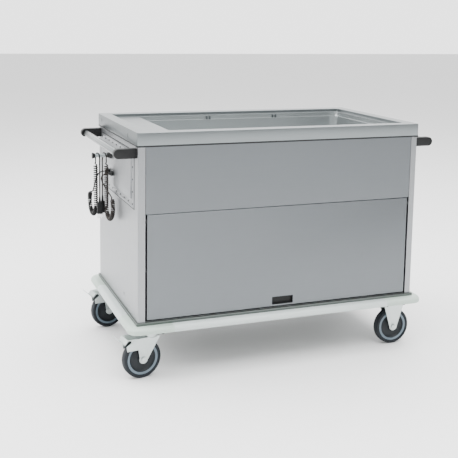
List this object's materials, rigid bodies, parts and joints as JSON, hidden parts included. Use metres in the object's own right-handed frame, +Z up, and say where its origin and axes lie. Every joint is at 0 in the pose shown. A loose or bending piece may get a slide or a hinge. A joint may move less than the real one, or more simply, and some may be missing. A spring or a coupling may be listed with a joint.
{
  "type": "hot food trolley",
  "caption": "Closed stainless steel food trolley with a heated water well, a heated cupboard behind an up-and-over door, push bars, curly mains leads and braked castors.",
  "frame": {"origin": "on the floor under the middle of the trolley's outline, without the two mains leads", "axes": "+X along the length away from the mains leads, -Y towards the cupboard door, +Z up"},
  "size_m": [1.4106, 0.776, 0.985],
  "materials": {
    "top_steel": "fine brushed stainless steel, bright",
    "well_steel": "drawn stainless steel",
    "panel_steel": "satin stainless steel sheet",
    "inner_steel": "plain stainless steel sheet",
    "frame_steel": "welded square tube",
    "screw_steel": "plain steel",
    "handle_steel": "polished tube",
    "hook_grey": "smooth",
    "castor_zinc": "bright zinc plate",
    "pedal_zinc": "zinc plate, dark edge",
    "bumper_rail": "smooth grey buffer profile",
    "bumper_corner": "smooth pale grey-green moulding",
    "black_plastic": "fine grain",
    "grey_plastic": "plain",
    "tyre_rubber": "smooth dark tread",
    "hub_plastic": "dark moulding with light rings",
    "element_steel": "heat-tinted sheath",
    "control_plate": "satin plate with black switch frames",
    "lamp_lens": "amber lens",
    "valve_chrome": "plated",
    "lever_red": "dipped grip",
    "switch_green": "smooth",
    "lead_black": "matt sheath",
    "lead_brown": "matt sheath",
    "plug_black": "moulded",
    "plug_grey": "moulded"
  },
  "bodies": {
    "trolley": {"worktop": "top_steel", "bain_marie_well": "well_steel", "divider_clips": "well_steel", "side_panel_left": "panel_steel", "side_panel_right": "panel_steel", "front_fascia": "panel_steel", "back_panel": "panel_steel", "cupboard_walls": "inner_steel", "cupboard_ceiling": "inner_steel", "cupboard_floor": "inner_steel", "cupboard_shelf": "inner_steel", "shelf_brackets": "inner_steel", "door_rails": "inner_steel", "base_plate": "panel_steel", "chassis_frame": "frame_steel", "bumper_rails": "bumper_rail", "bumper_corners": "bumper_corner", "caster_plates": "castor_zinc", "caster_bolts": "castor_zinc", "rigid_forks": "castor_zinc", "handle_tubes": "handle_steel", "handle_brackets": "black_plastic", "service_cover": "panel_steel", "cover_screws": "screw_steel", "cord_hook": "hook_grey", "hook_stops": "black_plastic", "cord_glands": "black_plastic", "heating_elements": "element_steel", "control_panel": "control_plate", "switchgear": "grey_plastic", "pilot_lamps": "lamp_lens", "drain_valve": "valve_chrome", "lead_coil_rear": "lead_black", "lead_rear": "lead_black", "plug_rear": "plug_black", "lead_coil_front": "lead_brown", "lead_front": "lead_brown", "plug_front": "plug_grey"},
    "door_slider": {"door_carriage": "inner_steel"},
    "door": {"door_panel": "panel_steel", "door_liner": "inner_steel", "door_pull": "black_plastic", "door_hinges": "inner_steel"},
    "well_dial": {"well_knob": "black_plastic"},
    "cupboard_dial": {"cupboard_knob": "black_plastic"},
    "well_rocker": {"well_switch": "switch_green"},
    "cupboard_rocker": {"cupboard_switch": "switch_green"},
    "drain_handle": {"drain_lever": "lever_red"},
    "swivel_front": {"swivel_fork_front": "castor_zinc"},
    "pedal_front": {"brake_pedal_front": "pedal_zinc"},
    "wheel_front_left": {"wheel_hub_front_left": "hub_plastic", "tyre_front_left": "tyre_rubber"},
    "wheel_front_right": {"wheel_hub_front_right": "hub_plastic", "tyre_front_right": "tyre_rubber"},
    "swivel_rear": {"swivel_fork_rear": "castor_zinc"},
    "pedal_rear": {"brake_pedal_rear": "pedal_zinc"},
    "wheel_rear_left": {"wheel_hub_rear_left": "hub_plastic", "tyre_rear_left": "tyre_rubber"},
    "wheel_rear_right": {"wheel_hub_rear_right": "hub_plastic", "tyre_rear_right": "tyre_rubber"}
  },
  "joints": [
    {"name": "door_slide", "type": "slide", "parent": "trolley", "child": "door_slider", "axis": [0, 1, 0], "range_m": [0, 0.3561]},
    {"name": "door_tilt", "type": "hinge", "parent": "door_slider", "child": "door", "pos_m": [0, -0.32, 0.636], "axis": [-1, 0, 0], "range_deg": [0, 90]},
    {"name": "swivel_front_turn", "type": "hinge", "parent": "trolley", "child": "swivel_front", "pos_m": [-0.552, -0.3, 0.174], "axis": [0, 0, 1], "continuous": true},
    {"name": "wheel_front_left_spin", "type": "hinge", "parent": "swivel_front", "child": "wheel_front_left", "pos_m": [-0.59139, -0.30695, 0.08], "axis": [-0.1736, 0.9848, 0], "continuous": true},
    {"name": "pedal_front_press", "type": "hinge", "parent": "swivel_front", "child": "pedal_front", "pos_m": [-0.63472, -0.31459, 0.158], "axis": [0.1736, -0.9848, 0], "range_deg": [0, 20]},
    {"name": "wheel_front_right_spin", "type": "hinge", "parent": "trolley", "child": "wheel_front_right", "pos_m": [0.552, -0.3, 0.08], "axis": [0, 1, 0], "continuous": true},
    {"name": "swivel_rear_turn", "type": "hinge", "parent": "trolley", "child": "swivel_rear", "pos_m": [-0.552, 0.3, 0.174], "axis": [0, 0, 1], "continuous": true},
    {"name": "wheel_rear_left_spin", "type": "hinge", "parent": "swivel_rear", "child": "wheel_rear_left", "pos_m": [-0.59139, 0.29305, 0.08], "axis": [-0.1736, 0.9848, 0], "continuous": true},
    {"name": "pedal_rear_press", "type": "hinge", "parent": "swivel_rear", "child": "pedal_rear", "pos_m": [-0.63472, 0.28541, 0.158], "axis": [0.1736, -0.9848, 0], "range_deg": [0, 20]},
    {"name": "wheel_rear_right_spin", "type": "hinge", "parent": "trolley", "child": "wheel_rear_right", "pos_m": [0.552, 0.3, 0.08], "axis": [0, 1, 0], "continuous": true},
    {"name": "well_dial_turn", "type": "hinge", "parent": "trolley", "child": "well_dial", "pos_m": [-0.522, 0.358, 0.862], "axis": [0, 1, 0], "range_deg": [-270, 0]},
    {"name": "well_rocker_press", "type": "hinge", "parent": "trolley", "child": "well_rocker", "pos_m": [-0.545, 0.348, 0.725], "axis": [-1, 0, 0], "range_deg": [0, 16]},
    {"name": "cupboard_dial_turn", "type": "hinge", "parent": "trolley", "child": "cupboard_dial", "pos_m": [-0.522, 0.358, 0.806], "axis": [0, 1, 0], "range_deg": [-270, 0]},
    {"name": "cupboard_rocker_press", "type": "hinge", "parent": "trolley", "child": "cupboard_rocker", "pos_m": [-0.499, 0.348, 0.725], "axis": [-1, 0, 0], "range_deg": [0, 16]},
    {"name": "drain_lever_turn", "type": "hinge", "parent": "trolley", "child": "drain_handle", "pos_m": [0.48, 0.3573, 0.753], "axis": [0, 0, 1], "range_deg": [0, 90]}
  ],
  "couplings": [
    {"joint": "door_slide", "follows": "door_tilt", "m_per_rad": 0.22664}
  ]
}
